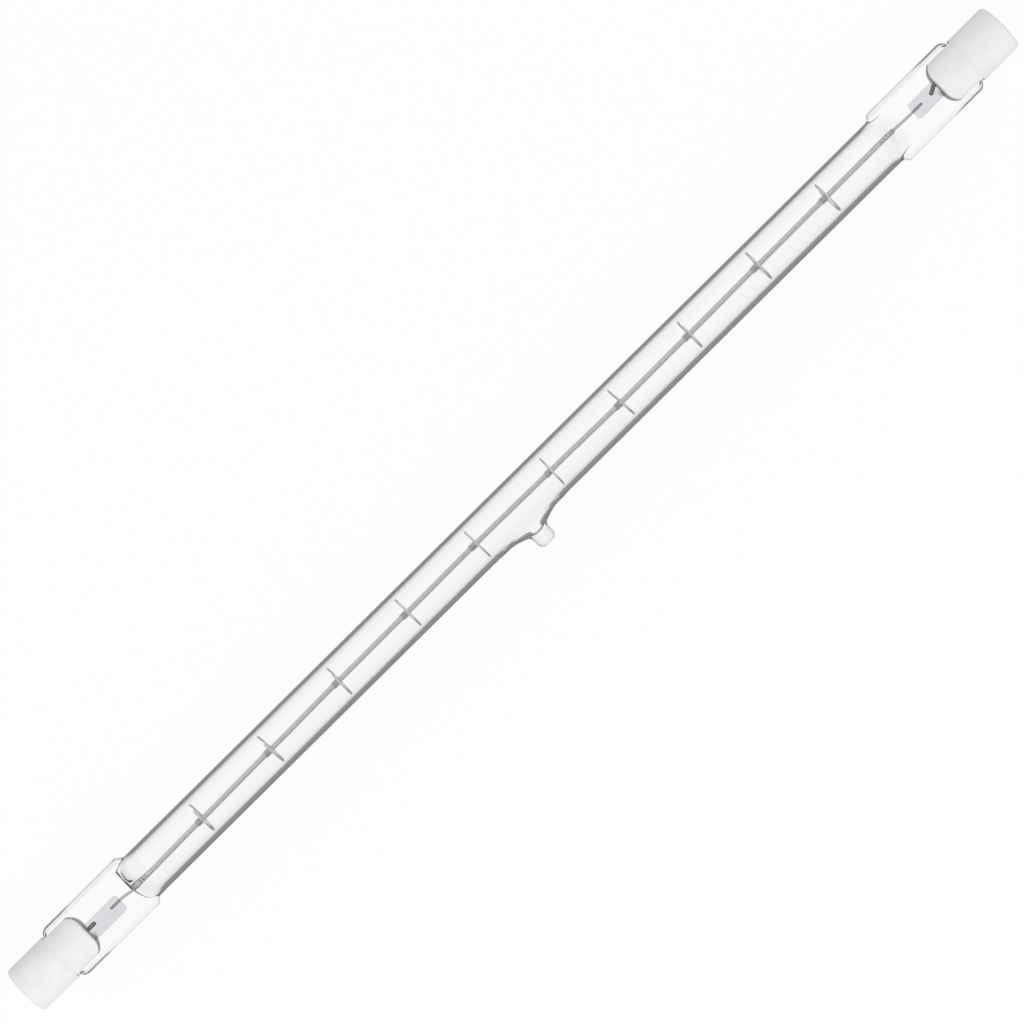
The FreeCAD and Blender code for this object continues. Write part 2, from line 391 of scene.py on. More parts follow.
def quartz(name, painted_edge_shade_stops):
    """Drawn quartz with faint lines along the tube."""
    material, tree, shader = glass(name, painted_edge_shade_stops)
    drawn = noise(tree, quartz_line_size, 2.0, quartz_line_stretch)
    tree.links.new(levels(tree, drawn, *quartz_rough), shader.inputs["Roughness"])
    add_bump(tree, shader, drawn, relief_depth, quartz_relief)
    return material


def pressed_quartz(name, painted_edge_shade_stops):
    """Quartz that was squeezed between the pinch jaws or melted shut: a little matt."""
    material, tree, shader = glass(name, painted_edge_shade_stops)
    cloud = noise(tree, pressed_cloud_size, 3.0, pressed_cloud_stretch)
    tree.links.new(levels(tree, cloud, *pressed_rough), shader.inputs["Roughness"])
    add_bump(tree, shader, noise(tree, pressed_grain, 2.0), relief_depth, pressed_relief)
    return material


def wire_metal(name, dark, light, grain, rough):
    """Drawn wire with streaks of tone and fine scratches along it."""
    material, tree, shader = new_material(name)
    shader.inputs["Metallic"].default_value = 1.0
    streak = noise(tree, grain, 4.0)
    tree.links.new(two_tones(tree, streak, dark, light), shader.inputs["Base Color"])
    tree.links.new(levels(tree, streak, *rough), shader.inputs["Roughness"])
    scratches = noise(tree, grain / 4, 2.0, scratch_stretch)
    add_bump(tree, shader, scratches, relief_depth, scratch_relief)
    return material


def fired_ceramic(name, dark, light, grain, depth):
    """Matt fired body with faint clouds of tone and a fine grain."""
    material, tree, shader = new_material(name)
    cloud = noise(tree, ceramic_cloud_size, 3.0)
    tree.links.new(two_tones(tree, cloud, dark, light), shader.inputs["Base Color"])
    coarse = noise(tree, grain * 3, 2.0)
    tree.links.new(levels(tree, coarse, *ceramic_rough), shader.inputs["Roughness"])
    shader.inputs["Subsurface Weight"].default_value = ceramic_glow
    shader.inputs["Subsurface Radius"].default_value = [ceramic_glow_depth * MM] * 3
    shader.inputs["Subsurface Scale"].default_value = 1.0
    add_bump(tree, shader, noise(tree, grain, 4.0), depth, ceramic_relief)
    return material


# Painted edge shade: the colours that glass takes on where it is seen edge-on, darker than the glass itself
clear = (1.0, 1.0, 1.0)
painted_edge_shade_brown = (0.6, 0.5, 0.467)
painted_edge_shade_grey = (0.58, 0.54, 0.52)

# Metals and ceramics have a dark and a light tone and a grain in millimetres. Metals end with their range of
# roughness, and ceramics with the depth of their relief.
materials = {
    "quartz": quartz("quartz_outside", [(0.28, clear), (0.62, painted_edge_shade_brown)]),
    "quartz_bore": quartz("quartz_bore", [(0.0, clear), (1.0, (0.96, 0.96, 0.96))]),
    # The upper bead is the lower bead's pressed glass with painted shade: greyer, and darker at its edges
    "upper_bead_painted_shade": pressed_quartz("upper_bead_painted_shade", [(0.05, (0.94, 0.93, 0.92)), (0.6, painted_edge_shade_grey)]),
    "lower_bead": pressed_quartz("lower_bead", [(0.2, clear), (0.9, (0.8, 0.78, 0.77))]),
    "melted_tip": pressed_quartz("melted_tip", [(0.1, (0.97, 0.965, 0.96)), (0.8, (0.84, 0.82, 0.8))]),
    "tungsten": wire_metal("tungsten", (0.93, 0.92, 0.915), (0.99, 0.98, 0.975), 0.5, (0.14, 0.24)),
    "support_wire": wire_metal("support_wire", (0.84, 0.83, 0.83), (0.97, 0.96, 0.96), 0.4, (0.12, 0.22)),
    "support_clamp": wire_metal("support_clamp", (0.64, 0.63, 0.63), (0.8, 0.79, 0.79), 0.3, (0.2, 0.35)),
    "molybdenum": wire_metal("molybdenum", (0.75, 0.745, 0.76), (0.9, 0.895, 0.91), 0.4, (0.2, 0.35)),
    "inner_weld": wire_metal("inner_weld", (0.5, 0.49, 0.5), (0.65, 0.64, 0.65), 0.3, (0.35, 0.5)),
    "weld": wire_metal("weld", (0.26, 0.25, 0.26), (0.4, 0.39, 0.4), 0.3, (0.35, 0.5)),
    "foil": wire_metal("foil", (0.89, 0.88, 0.92), (0.95, 0.94, 0.98), 0.7, (0.1, 0.18)),
    "contact_metal": wire_metal("contact_metal", (0.58, 0.565, 0.53), (0.74, 0.72, 0.69), 0.6, (0.22, 0.4)),
    "ceramic": fired_ceramic("ceramic", (0.84, 0.83, 0.845), (0.9, 0.89, 0.905), 0.12, 0.02),
    "cement": fired_ceramic("cement", (0.84, 0.83, 0.8), (0.94, 0.93, 0.91), 0.2, 0.06),
}

# Mesh helpers


def piece(name, mesh, slot, nodes):
    """A piece of the lamp from a mesh in the lamp's own frame, standing for nodes."""
    mesh.transform(LAMP)
    for polygon in mesh.polygons:
        polygon.use_smooth = True
    mesh.set_sharp_from_angle(angle=math.radians(sharp_deg))
    if not mesh.materials:
        mesh.materials.append(materials[slot])
    thing = bpy.data.objects.new(name, mesh)
    bpy.context.scene.collection.objects.link(thing)
    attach(thing, "root")
    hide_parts(*nodes)


def mesh_of(name, *bodies):
    """One mesh of closed bodies, each given as vertices and faces, with the faces pointing outwards."""
    bm = bmesh.new()
    for vertices, faces in bodies:
        added = [bm.verts.new(vertex) for vertex in vertices]
        made = [bm.faces.new([added[i] for i in face]) for face in faces]
        bmesh.ops.recalc_face_normals(bm, faces=made)
    mesh = bpy.data.meshes.new(name)
    bm.to_mesh(mesh)
    bm.free()
    return mesh


def sweep(path, radii, sides):
    """Round wire with rounded ends along a line of points, as thick at each as its radius."""
    first, last = path[0] - path[1], path[-1] - path[-2]
    start = path[0] + first.normalized() * wire_nose * radii[0]
    stop = path[-1] + last.normalized() * wire_nose * radii[-1]
    line = [start, *path, stop]
    sizes = [radii[0] * (1 - wire_nose), *radii, radii[-1] * (1 - wire_nose)]
    vertices = []
    side = first.orthogonal()
    for i, (place, size) in enumerate(zip(line, sizes)):
        ahead = (line[min(i + 1, len(line) - 1)] - line[max(i - 1, 0)]).normalized()
        side = (side - ahead * side.dot(ahead)).normalized()
        other = ahead.cross(side)
        for k in range(sides):
            angle = 2 * math.pi * k / sides
            vertices.append(place + (side * math.cos(angle) + other * math.sin(angle)) * size)
    faces = ring_faces(len(line), sides)
    faces.append(list(range(sides))[::-1])
    faces.append([(len(line) - 1) * sides + k for k in range(sides)])
    return vertices, faces


def lathe(profile, hand, closed):
    """Body turned about the lamp's axis from pairs of X and radius. Hand is -1 for the lamp's left end."""
    vertices = []
    for x, radius in profile:
        for k in range(turned_sides):
            angle = 2 * math.pi * k / turned_sides
            vertices.append(Vector((hand * x, radius * math.cos(angle), radius * math.sin(angle))))
    faces = ring_faces(len(profile), turned_sides)
    last = (len(profile) - 1) * turned_sides
    if closed:
        for k in range(turned_sides):
            follow = (k + 1) % turned_sides
            faces.append([last + k, last + follow, follow, k])
    else:
        faces.append(list(range(turned_sides)))
        faces.append([last + k for k in range(turned_sides)])
    return vertices, faces


def slab(rows):
    """Closed body between the upper and lower points of its rows, each a pair of lists of points."""
    count = len(rows[0][0])
    vertices = []
    for upper, lower in rows:
        vertices += [*upper, *reversed(lower)]
    faces = ring_faces(len(rows), 2 * count)
    for start in (0, (len(rows) - 1) * 2 * count):
        for j in range(count - 1):
            faces.append([start + j, start + j + 1, start + 2 * count - 2 - j, start + 2 * count - 1 - j])
    return vertices, faces


def ring_faces(rings, sides):
    """Faces between rings of equal numbers of vertices."""
    faces = []
    for start in range(0, (rings - 1) * sides, sides):
        for k in range(sides):
            follow = (k + 1) % sides
            faces.append([start + k, start + follow, start + sides + follow, start + sides + k])
    return faces


# Quartz envelope


def pinch_half_width_at(x):
    """Half the envelope's width in the pinch plane: tube, shoulder, pinch and its rounded corners."""
    corner_x = pinch_outer_x - pinch_corner_radius
    width = tube_radius + (pinch_half_width - tube_radius) * smoothstep(x, shoulder_start_x, shoulder_stop_x)
    if x > corner_x:
        reach = min(pinch_corner_radius, x - corner_x)
        width -= pinch_corner_radius - math.sqrt(pinch_corner_radius**2 - reach**2)
    return width


def pinch_height(x, y, width):
    """Half thickness of the pinch: a web, thicker beads along its edges, and rounded edges."""
    inside = width - abs(y)
    bead = smoothstep(pinch_bead_width - inside, 0, pinch_bead_step)
    height = pinch_web_half + (pinch_bead_half - pinch_web_half) * bead
    share = max(0.0, 1 - inside / pinch_edge_run)
    edge = (1 - share**pinch_edge_power) ** (1 / pinch_edge_power)
    return height * edge * smoothstep(x, bead_start_x, bead_stop_x)


def outer_point(x, angle):
    """Outer wall of the envelope at an X and an angle round the axis."""
    far = abs(x)
    width = pinch_half_width_at(far)
    y = width * math.cos(angle)
    upper_length, lower_length = dome_length[int(math.copysign(1, x))]
    length = lower_length + (upper_length - lower_length) * smoothstep(y, *dome_turn_y)
    share = 1 - (cavity_end_x - far) / length
    tube = 0.0
    if share < 1:
        low = pinch_web_half / 2
        height = tube_radius if share < 0 else low + (tube_radius - low) * math.cos(share * math.pi / 2)
        tube = height * abs(math.sin(angle)) if width <= tube_radius else height * tube_side(y)
    z = norm_max(tube, pinch_height(far, y, width))
    return Vector((x, y, math.copysign(z, math.sin(angle))))


def tube_side(y):
    """Height of a round tube of radius 1 at a distance from its middle."""
    return math.sqrt(max(0.0, 1 - (y / tube_radius) ** 2))


def inner_point(x, angle):
    """Wall of the bore, a little off the middle, which closes to a slit for the coil's end.

    Each end was pressed differently: blunt or long, and square or slanting on its upper and lower side.
    """
    far = abs(x)
    hand = int(math.copysign(1, x))
    share = min(1.0, max(0.0, (far - cavity_dome_x) / cavity_dome_length))
    upper = smoothstep(math.cos(angle), -cavity_turn, cavity_turn)
    end_half = cavity_end_half[hand] + cavity_blunt[hand] * upper
    height = end_half + (bore_radius - end_half) * (1 + math.cos(share * math.pi)) / 2
    close = max(0.0, (far - cavity_end_x + cavity_end_round[hand]) / cavity_end_round[hand])
    height *= math.sqrt(1 - close**2) if hand < 0 else 1 - close**cavity_wedge_power
    width = bore_radius * (1 - cavity_end_narrowing * close**2)
    upper_bow, lower_bow = cavity_bow[hand]
    bow = (lower_bow + (upper_bow - lower_bow) * upper) * abs(math.cos(angle)) ** cavity_bow_power * share
    y = bore_offset + width * math.cos(angle)
    reach = cavity_reach[hand] * smoothstep(share, *cavity_reach_share)
    return Vector((hand * (far + reach - bow), y, height * math.sin(angle)))


def flare_rings(places, radius, foot, neck_radius, neck_y, shift):
    """Rings of a funnel towards the tip, from a patch's edge on a round wall that may lie off the middle."""
    foot_y = math.sqrt(radius**2 - foot[1] ** 2)
    rings = []
    for share in steps(0, 1, foot_rings)[1:]:
        ring = []
        for place in places:
            u, v = place.x - tip_offset, place.z
            scale = 1 / math.hypot(u / foot[0], v / foot[1])
            keep = 1 - share + scale * share
            wall = math.sqrt(radius**2 - (v * keep) ** 2)
            lift = soft_max(wall, foot_y - tip_foot_sink * (1 - share), tip_blend) - wall
            ring.append(Vector((tip_offset + u * keep, shift - wall - lift * share, v * keep)))
        rings.append(ring)
    for share in steps(0, 1, flare_ring_count)[1:]:
        left = soft_max(0.0, 1 - share / tip_neck_share, tip_neck_round)
        size = [neck_radius + (half - neck_radius) * left for half in foot]
        ring = []
        for place in places:
            u, v = place.x - tip_offset, place.z
            scale = 1 / math.hypot(u / size[0], v / size[1])
            wall = math.sqrt(radius**2 - (v * scale) ** 2)
            y = soft_max(wall, foot_y + (neck_y - foot_y) * share, tip_blend * (1 - share))
            ring.append(Vector((tip_offset + u * scale, shift * (1 - share) - y, v * scale)))
        rings.append(ring)
    return rings


def round_rings(places, profile):
    """Round rings about the tip's axis, from pairs of radius and reach."""
    rings = []
    for radius, y in profile:
        ring = []
        for place in places:
            across = Vector((place.x - tip_offset, 0, place.z)).normalized() * radius
            ring.append(Vector((tip_offset + across.x, -y, across.z)))
        rings.append(ring)
    return rings


def tip_end_profile():
    """Radius and reach along the stub and its melted end."""
    corner_y = tip_reach - tip_end_radius
    core = tip_radius - tip_end_radius
    profile = [(tip_radius, y) for y in steps(tip_neck_y, corner_y, stub_rings)[1:]]
    for angle in steps(0, math.pi / 2, corner_steps)[1:]:
        radius = core + tip_end_radius * math.cos(angle)
        profile.append((radius, corner_y + tip_end_radius * math.sin(angle)))
    return profile + [(core / 2, tip_reach)]


def tip_bore_profile():
    """Radius and reach along the melted, domed end of the tip's hollow."""
    depth = tip_bore_reach - tip_bore_neck_y
    profile = []
    for angle in steps(0, math.radians(tip_bore_dome_deg), corner_steps)[1:]:
        profile.append((tip_bore_radius * math.cos(angle), tip_bore_neck_y + depth * math.sin(angle)))
    return profile


def envelope_stations(stop_x):
    """Places of the cross-sections along the lamp, closer together where the form changes."""
    end = steps(tip_offset + tip_patch_half_length, dome_x, straight_rows)[1:]
    end += steps(dome_x, cavity_end_x, dome_rows)[1:]
    if stop_x > cavity_end_x:
        corner_x = stop_x - pinch_corner_radius
        end += steps(cavity_end_x, corner_x, pinch_rows)[1:]
        end += [corner_x + pinch_corner_radius * math.sin(a) for a in steps(0, math.pi / 2, corner_steps)[1:]]
    patch = steps(tip_offset - tip_patch_half_length, tip_offset + tip_patch_half_length, patch_rows)
    left = [-x for x in reversed(end) if x > tip_patch_half_length - tip_offset]
    return left + patch + end, len(left)


def shell(surface, stop_x, rings_of):
    """Closed wall of the envelope: cross-sections along the lamp, with a tip in place of a patch of faces."""
    xs, first_row = envelope_stations(stop_x)
    vertices = [surface(x, 2 * math.pi * k / around) for x in xs for k in range(around)]
    low, high = around // 2 - patch_columns, around // 2 + patch_columns
    last_row = first_row + patch_rows
    faces = []
    for number, face in enumerate(ring_faces(len(xs), around)):
        row, column = divmod(number, around)
        if not (first_row <= row < last_row and low <= column < high):
            faces.append(face)
    rim = [first_row * around + k for k in range(low, high)]
    rim += [i * around + high for i in range(first_row, last_row)]
    rim += [last_row * around + k for k in range(high, low, -1)]
    rim += [i * around + low for i in range(last_row, first_row, -1)]
    rings = rings_of([vertices[index] for index in rim])
    previous = rim
    for ring in rings:
        current = list(range(len(vertices), len(vertices) + len(ring)))
        vertices.extend(ring)
        for k in range(len(ring)):
            follow = (k + 1) % len(ring)
            faces.append([previous[k], previous[follow], current[follow], current[k]])
        previous = current
    centre = len(vertices)
    vertices.append(sum(rings[-1], Vector()) / len(rings[-1]))
    for k, index in enumerate(previous):
        faces.append([index, previous[(k + 1) % len(previous)], centre])
    for start in (0, (len(xs) - 1) * around):
        for k in range(around // 2):
            opposite = (around - k) % around
            faces.append([start + k, start + k + 1, start + around - k - 1, start + opposite])
    return vertices, faces


def outer_rings(places):
    """Outside of the exhaust tip, from the edge of its patch."""
    rings = flare_rings(places, tube_radius, tip_flare, tip_radius, tip_neck_y, 0.0)
    return rings + round_rings(places, tip_end_profile())


def inner_rings(places):
    """Hollow of the exhaust tip, from the edge of its patch."""
    rings = flare_rings(places, bore_radius, tip_funnel, tip_bore_radius, tip_bore_neck_y, bore_offset)
    return rings + round_rings(places, tip_bore_profile())


def glass_at(place, wall):
    """Kind of glass of a face: pressed along the pinches' edges, with painted shade on the upper bead, melted
    at the tip, or that of its wall.
    """
    if abs(place.x) > shoulder_start_x and abs(place.y) > pinch_pressed_y:
        return "upper_bead_painted_shade" if place.y > 0 else "lower_bead"
    return "melted_tip" if wall == "quartz" and place.y < -tip_neck_y else wall


def quartz_envelope():
    """Outer and inner wall as one closed body of quartz, with the walls' faces pointing out of the glass."""
    kinds = ["quartz", "quartz_bore", "upper_bead_painted_shade", "lower_bead", "melted_tip"]
    bm = bmesh.new()
    for wall, surface, stop_x, rings_of in (
        ("quartz", outer_point, pinch_outer_x, outer_rings),
        ("quartz_bore", inner_point, cavity_end_x, inner_rings),
    ):
        vertices, faces = shell(surface, stop_x, rings_of)
        added = [bm.verts.new(vertex) for vertex in vertices]
        corners = [list(dict.fromkeys(face)) for face in faces]
        made = [bm.faces.new([added[i] for i in face]) for face in corners if len(face) > 2]
        bmesh.ops.recalc_face_normals(bm, faces=made)
        if wall == "quartz_bore":
            bmesh.ops.reverse_faces(bm, faces=made)
        for face in made:
            face.material_index = kinds.index(glass_at(face.calc_center_median(), wall))
    bmesh.ops.remove_doubles(bm, verts=bm.verts, dist=weld_distance)
    mesh = bpy.data.meshes.new("quartz_glass")
    bm.to_mesh(mesh)
    bm.free()
    for kind in kinds:
        mesh.materials.append(materials[kind])
    piece("quartz_glass", mesh, "quartz", ["quartz_envelope"])


# Coil, supports and leads


def coil_middle(x):
    """How far the coil lies off the axis at an X: it is held at its ends and at each support."""
    held = [-coil_end_x, *stations, coil_end_x]
    for start, stop, before, after in zip(held, held[1:], coil_offsets, coil_offsets[1:]):
        if x <= stop:
            break
    return before + (after - before) * smoothstep(x, start, stop)


def filament():
    """One long coil of fine wire."""
    turns = (2 * coil_end_x - 2 * coil_wire_radius) / coil_pitch
    radius = coil_radius - coil_wire_radius
    path = []
    for i in range(int(turns * coil_points) + 1):
        angle = 2 * math.pi * i / coil_points
        x = -coil_end_x + coil_wire_radius + coil_pitch * i / coil_points
        path.append(Vector((x, coil_middle(x) + radius * math.cos(angle), radius * math.sin(angle))))
    wire = sweep(path, [coil_wire_radius] * len(path), coil_sides)
    piece("coiled_filament", mesh_of("coiled_filament", wire), "tungsten", ["filament"])


def support_path(x, lean_deg, tilt):
    """Tight turns of thinner wire on the coil, an arm out to the wall, a bend, and an open ring."""
    lean = math.radians(lean_deg)
    middle = Vector((0, coil_middle(x), 0))
    wound = coil_radius + support_clamp_wire_radius - support_clamp_sunk
    start_x = x - support_clamp_length + support_clamp_wire_radius
    stop_x = x - support_wire_radius

    def around_axis(angle, radius, at_x):
        """Place at an angle from the arm, round the lamp's axis."""
        return Vector((at_x, radius * math.cos(lean + angle), radius * math.sin(lean + angle)))

    def on_ring(angle):
        """Place on the tilted ring."""
        ring_x = stop_x + tilt * (math.cos(lean) - math.cos(lean + angle))
        return around_axis(angle, support_ring_radius, ring_x)

    count = support_clamp_turns * clamp_points
    path = []
    for i in range(count):
        share = i / count
        angle = 2 * math.pi * support_clamp_turns * (share - 1)
        path.append(middle + around_axis(angle, wound, start_x + (stop_x - start_x) * share))
    radii = [support_clamp_wire_radius] * count
    bend = support_bend_length / support_ring_radius
    arm_start = middle + around_axis(0, wound + support_wire_radius, stop_x)
    arm_end = around_axis(0, support_ring_radius - support_bend_length, stop_x)
    corner = around_axis(0, support_ring_radius, stop_x)
    path += [arm_start + (arm_end - arm_start) * share for share in steps(0, 1, arm_points)]
    for t in steps(0, 1, bend_points)[1:]:
        path.append(arm_end * (1 - t) ** 2 + corner * 2 * t * (1 - t) + on_ring(bend) * t**2)
    for angle in steps(bend, bend + math.radians(support_ring_sweep_deg), ring_points)[1:]:
        path.append(on_ring(angle))
    radii += [support_wire_radius] * (len(path) - count)
    return path, radii


def filament_supports():
    """Ten wire supports, as they stand along the coil."""
    shapes = zip(stations, support_lean_deg, support_ring_tilt)
    for number, (x, lean, tilt) in enumerate(shapes, start=1):
        name = f"support_spiral_{number:02d}"
        mesh = mesh_of(name, sweep(*support_path(x, lean, tilt), support_sides))
        mesh.materials.append(materials["support_wire"])
        mesh.materials.append(materials["support_clamp"])
        for polygon in mesh.polygons:
            off_coil = math.hypot(polygon.center.y - coil_middle(x), polygon.center.z)
            polygon.material_index = int(off_coil < support_clamp_reach)
        piece(name, mesh, "support_wire", [f"filament_support_{number:02d}"])


def seal_leads(side, hand):
    """The lead that carries the coil, and the lead to the contact, both welded to the foil."""
    foil_inner = min(abs(x) for x in foil_spans[side])
    inner_start, inner_stop = sorted(abs(x) for x in inner_lead_spans[side])
    outer_start, outer_stop = sorted(abs(x) for x in outer_lead_spans[side])

    def inner_place(x):
        """From the coil's middle onto the foil."""
        inside = coil_middle(hand * min(x, coil_end_x))
        share = smoothstep(x, coil_end_x, foil_inner)
        return Vector((hand * x, inside + (inner_lead_sway[side] - inside) * share, 0))

    def outer_place(x):
        """Bent on the foil, and straight again at the pinch's end."""
        top_x = outer_start + outer_lead_bend_after
        rise = smoothstep(x, outer_start - outer_lead_bend_before, top_x)
        rise -= smoothstep(x, top_x, pinch_outer_x)
        return Vector((hand * x, outer_lead_sway[side] * rise, outer_lead_z))

    for kind, start, stop, place, radius, metal in (
        ("inner", inner_start, inner_stop, inner_place, inner_lead_radius, "molybdenum"),
        ("outer", outer_start, outer_stop, outer_place, outer_lead_radius, "weld"),
    ):
        nose = radius * wire_nose
        path = [place(x) for x in steps(start + nose, stop - nose, lead_points)]
        name = f"{side}_{kind}_wire"
        mesh = mesh_of(name, sweep(path, [radius] * len(path), lead_sides))
        mesh.materials.append(materials[metal])
        if kind == "inner":
            mesh.materials.append(materials["inner_weld"])
            for polygon in mesh.polygons:
                polygon.material_index = int(abs(polygon.center.x) > foil_inner)
        piece(name, mesh, "molybdenum", [f"{side}_{kind}_lead"])


def seal_foil(side, hand):
    """Thin strip with feathered edges and rounded corners, slightly wavy from the pressing."""
    inner_x, outer_x = sorted(abs(x) for x in foil_spans[side])
    angles = steps(0, math.pi / 2, foil_corner_rows)
    ends = [foil_corner * (1 - math.cos(angle)) for angle in angles]
    xs = [inner_x + end for end in ends]
    xs += steps(inner_x + foil_corner, outer_x - foil_corner, foil_rows)[1:-1]
    xs += [outer_x - end for end in reversed(ends)]
    rows = []
    for x in xs:
        near_end = foil_corner - min(foil_corner, x - inner_x, outer_x - x)
        half = foil_half_width - foil_corner + math.sqrt(foil_corner**2 - near_end**2)
        upper, lower = [], []
        for across in steps(-1, 1, foil_columns):
            y = foil_offsets[side] + half * across
            wave = foil_wave * math.sin(x * foil_wave_rates[0] + across)
            wave *= math.sin(across * foil_wave_rates[1] + x)
            crown = math.sqrt(max(0.0, 1 - across**2))
            thin = foil_thickness * (foil_edge_share + (1 - foil_edge_share) * crown) / 2
            level = foil_top_z - foil_thickness / 2 + wave
            upper.append(Vector((hand * x, y, level + thin)))
            lower.append(Vector((hand * x, y, level - thin)))
        rows.append((upper, lower))
    name = f"{side}_seal_foil"
    piece(name, mesh_of(name, slab(rows)), "foil", [f"{side}_foil"])


# Ceramic caps and contacts


def round_corner(middle_x, middle_radius, size, start_deg, stop_deg):
    """Points of X and radius round a corner. 0 degrees is along X, 90 is outwards."""
    angles = [math.radians(angle) for angle in steps(start_deg, stop_deg, corner_steps)]
    return [(middle_x + size * math.cos(a), middle_radius + size * math.sin(a)) for a in angles]


def cap_tongue(side_of_slot, hand):
    """One of the two tongues that hold the pinch: flat on the slot, round outside, with rounded corners."""
    end_corner_x = tongue_end_x + tongue_corner_radius
    angles = steps(0, math.pi / 2, tongue_corner_rows)
    xs = [tongue_end_x + tongue_corner_radius * (1 - math.cos(angle)) for angle in angles]
    xs += steps(end_corner_x, slot_floor_x, tongue_rows)[1:]
    rows = []
    for x in xs:
        reach = max(0.0, end_corner_x - x)
        plan = cap_radius - tongue_corner_radius + math.sqrt(max(0.0, tongue_corner_radius**2 - reach**2))
        near = max(0.0, tongue_edge_round - (x - tongue_end_x))
        inset = tongue_edge_round - math.sqrt(tongue_edge_round**2 - near**2)
        half = min(plan, math.sqrt(cap_radius**2 - slot_half**2)) - inset
        upper, lower = [], []
        for across in steps(-1, 1, tongue_columns):
            y = half * across
            upper.append(Vector((hand * x, y, side_of_slot * (math.sqrt(cap_radius**2 - y**2) - inset))))
            lower.append(Vector((hand * x, y, side_of_slot * slot_half)))
        rows.append((upper, lower))
    return slab(rows)


def ceramic_cap(side, hand):
    """Round cap with a recess for the contact, a hole for the lead, and two tongues."""
    rim = round_corner(end_x - cap_rim_round, cap_radius - cap_rim_round, cap_rim_round, 90, 0)
    lip_radius = recess_radius + recess_edge_round
    lip = round_corner(end_x - recess_edge_round, lip_radius, recess_edge_round, 0, -90)
    seat_radius = contact_radius + contact_room
    seat_x = contact_face_x - contact_thickness - contact_room
    shank_hole_radius = contact_shank_radius + contact_room
    profile = [(slot_floor_x, lead_hole_radius), (slot_floor_x, cap_radius), *rim, *lip]
    profile += [(contact_face_x, recess_radius), (contact_face_x, seat_radius), (seat_x, seat_radius)]
    profile += [(seat_x, shank_hole_radius), (shank_end_x, shank_hole_radius)]
    profile += [(shank_end_x, lead_hole_radius)]
    bodies = [lathe(profile, hand, True), cap_tongue(1, hand), cap_tongue(-1, hand)]
    name = f"{side}_end_cap"
    piece(name, mesh_of(name, *bodies), "ceramic", [f"{side}_ceramic_cap"])


def contact_button(side, hand):
    """Crowned button with a rounded edge, on a shank."""
    seat_x = contact_face_x - contact_thickness
    profile = []
    for share in steps(0, contact_crown_share, crown_rings):
        radius = max(contact_radius * share, contact_middle_radius)
        profile.append((contact_face_x - contact_crown * share**2, radius))
    profile += [(contact_face_x - contact_edge_drop, contact_radius), (seat_x, contact_radius)]
    profile += [(seat_x, contact_shank_radius), (shank_end_x, contact_shank_radius)]
    name = f"{side}_contact_button"
    piece(name, mesh_of(name, lathe(profile, hand, False)), "contact_metal", [f"{side}_contact"])


quartz_envelope()
filament()
filament_supports()
for lamp_side, lamp_hand in (("left", -1), ("right", 1)):
    seal_leads(lamp_side, lamp_hand)
    seal_foil(lamp_side, lamp_hand)
    ceramic_cap(lamp_side, lamp_hand)
    contact_button(lamp_side, lamp_hand)

# The cement keeps its own form: it only shows as a line between cap and pinch
for lamp_side in ("left", "right"):
    cement = frame["nodes"][f"{lamp_side}_cement"].data.materials
    cement.clear()
    cement.append(materials["cement"])

# Stage: a white floor, soft light and the camera


def math_node(tree, operation, first, second):
    """One step of arithmetic. Each value is a number or another node's output."""
    node = tree.nodes.new("ShaderNodeMath")
    node.operation = operation
    for socket, value in zip(node.inputs, (first, second)):
        if isinstance(value, (int, float)):
            socket.default_value = value
        else:
            tree.links.new(value, socket)
    return node.outputs[0]


def seen(tree):
    """1 for what the eye sees, directly or in glass and metal, and 0 for the light that falls on things."""
    ray = tree.nodes.new("ShaderNodeLightPath").outputs
    direct_or_metal = math_node(tree, "MAXIMUM", ray["Is Camera Ray"], ray["Is Glossy Ray"])
    return math_node(tree, "MAXIMUM", direct_or_metal, ray["Is Transmission Ray"])


def mirrored(tree):
    """1 for what is seen in a reflection, where a studio is dimmer than its white floor."""
    ray = tree.nodes.new("ShaderNodeLightPath").outputs
    return math_node(tree, "MINIMUM", ray["Glossy Depth"], 1.0)


def floor():
    """Floor with a faint shadow. To the eye it is mostly plain white, and in mirrors it is dimmer."""
    bpy.ops.mesh.primitive_plane_add(size=floor_size, location=(0, 0, cad_box[0].z - floor_gap))
    plane = bpy.context.object
    plane.name = "floor"
    material = bpy.data.materials.new("floor_white")
    material.use_nodes = True
    tree = material.node_tree
    tree.nodes.clear()
    matt = tree.nodes.new("ShaderNodeBsdfDiffuse")
    matt.inputs["Color"].default_value = (floor_colour, floor_colour, floor_colour, 1)
    glow = tree.nodes.new("ShaderNodeEmission")
    tree.links.new(levels(tree, mirrored(tree), 1.0, floor_in_mirror), glow.inputs["Strength"])
    mix = tree.nodes.new("ShaderNodeMixShader")
    output = tree.nodes.new("ShaderNodeOutputMaterial")
    tree.links.new(math_node(tree, "MULTIPLY", seen(tree), floor_white_share), mix.inputs["Fac"])
    tree.links.new(matt.outputs[0], mix.inputs[1])
    tree.links.new(glow.outputs[0], mix.inputs[2])
    tree.links.new(mix.outputs[0], output.inputs["Surface"])
    plane.data.materials.append(material)


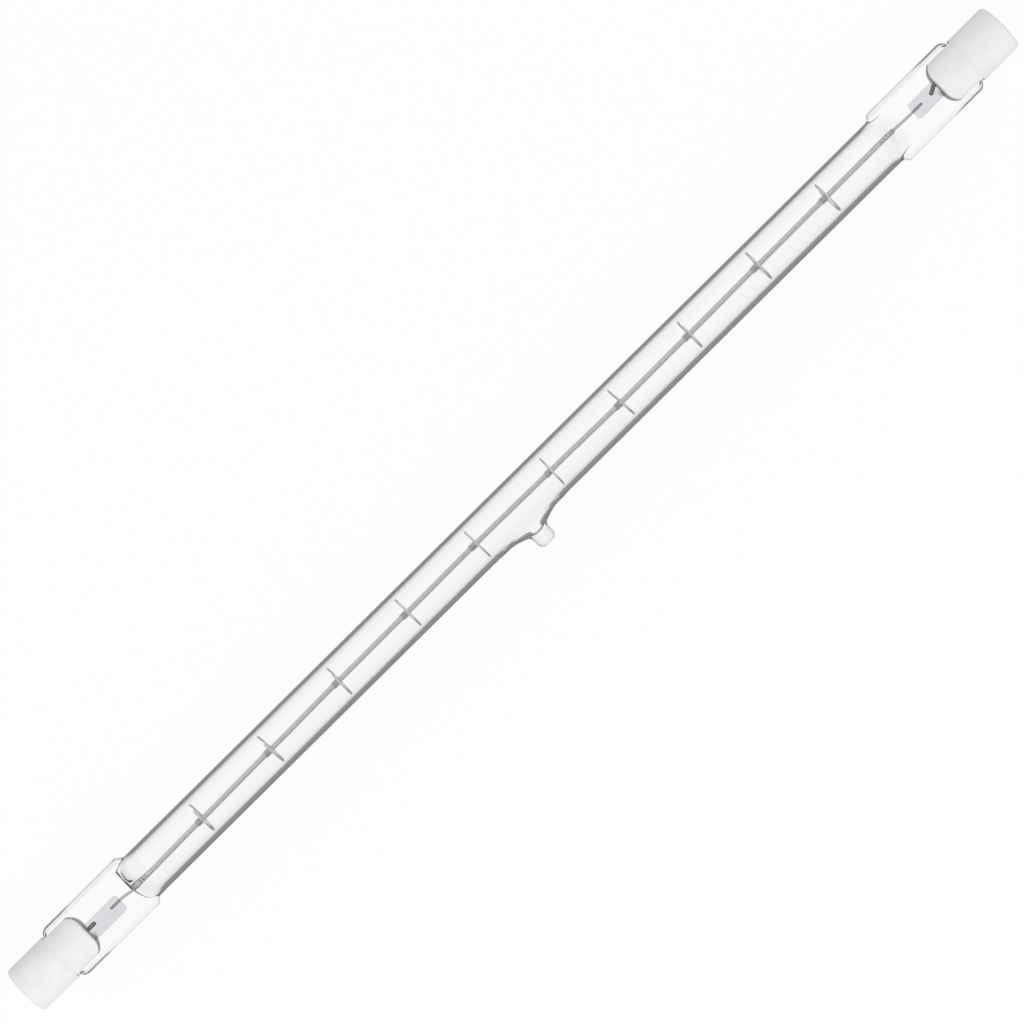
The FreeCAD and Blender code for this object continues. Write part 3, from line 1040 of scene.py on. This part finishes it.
def world():
    """White to the eye, dimmer in mirrors towards the horizon, and a soft grey as light."""
    scene_world = bpy.data.worlds.new("studio")
    scene_world.use_nodes = True
    tree = scene_world.node_tree
    tree.nodes.clear()
    background = tree.nodes.new("ShaderNodeBackground")
    output = tree.nodes.new("ShaderNodeOutputWorld")
    place = tree.nodes.new("ShaderNodeTexCoord")
    parts = tree.nodes.new("ShaderNodeSeparateXYZ")
    tree.links.new(place.outputs["Generated"], parts.inputs["Vector"])
    overhead = levels(tree, parts.outputs["Z"], horizon_in_mirror, overhead_in_mirror)
    dimmed = math_node(tree, "MULTIPLY", mirrored(tree), math_node(tree, "SUBTRACT", 1.0, overhead))
    white = math_node(tree, "SUBTRACT", 1.0 - world_light, dimmed)
    strength = math_node(tree, "ADD", math_node(tree, "MULTIPLY", seen(tree), white), world_light)
    tree.links.new(strength, background.inputs["Strength"])
    tree.links.new(background.outputs[0], output.inputs["Surface"])
    bpy.context.scene.world = scene_world


def area_light(name, place, size, power):
    """Soft lamp that faces the middle of the object, and doesn't show in glass and metal."""
    data = bpy.data.lights.new(name, "AREA")
    data.size = size
    data.energy = power
    lamp = bpy.data.objects.new(name, data)
    lamp.location = place
    lamp.rotation_mode = "QUATERNION"
    lamp.rotation_quaternion = (-place).to_track_quat("-Z", "Y")
    lamp.visible_glossy = False
    lamp.visible_transmission = False
    bpy.context.scene.collection.objects.link(lamp)


def camera():
    """Looks square on to the pinch seals, with the lamp across the picture as in the photograph."""
    data = bpy.data.cameras.new("camera")
    data.lens = lens_length
    data.sensor_width = sensor_width
    distance = view_width * lens_length / sensor_width
    pixel = view_width / photo_pixels
    turn = LAMP.to_3x3().normalized() @ Matrix.Rotation(-math.radians(photo_slant_deg), 3, "Z")
    half = photo_pixels / 2
    aim = Vector(((half - photo_middle[0]) * pixel, (photo_middle[1] - half) * pixel, distance))
    eye = bpy.data.objects.new("camera", data)
    eye.matrix_world = Matrix.Translation(turn @ aim) @ turn.to_4x4()
    bpy.context.scene.collection.objects.link(eye)
    bpy.context.scene.camera = eye


floor()
world()
key_place = LAMP.to_3x3().normalized() @ Vector(key_direction).normalized() * key_distance
area_light("key", key_place, key_size, key_power)
camera()
bpy.context.scene.view_settings.view_transform = "Standard"
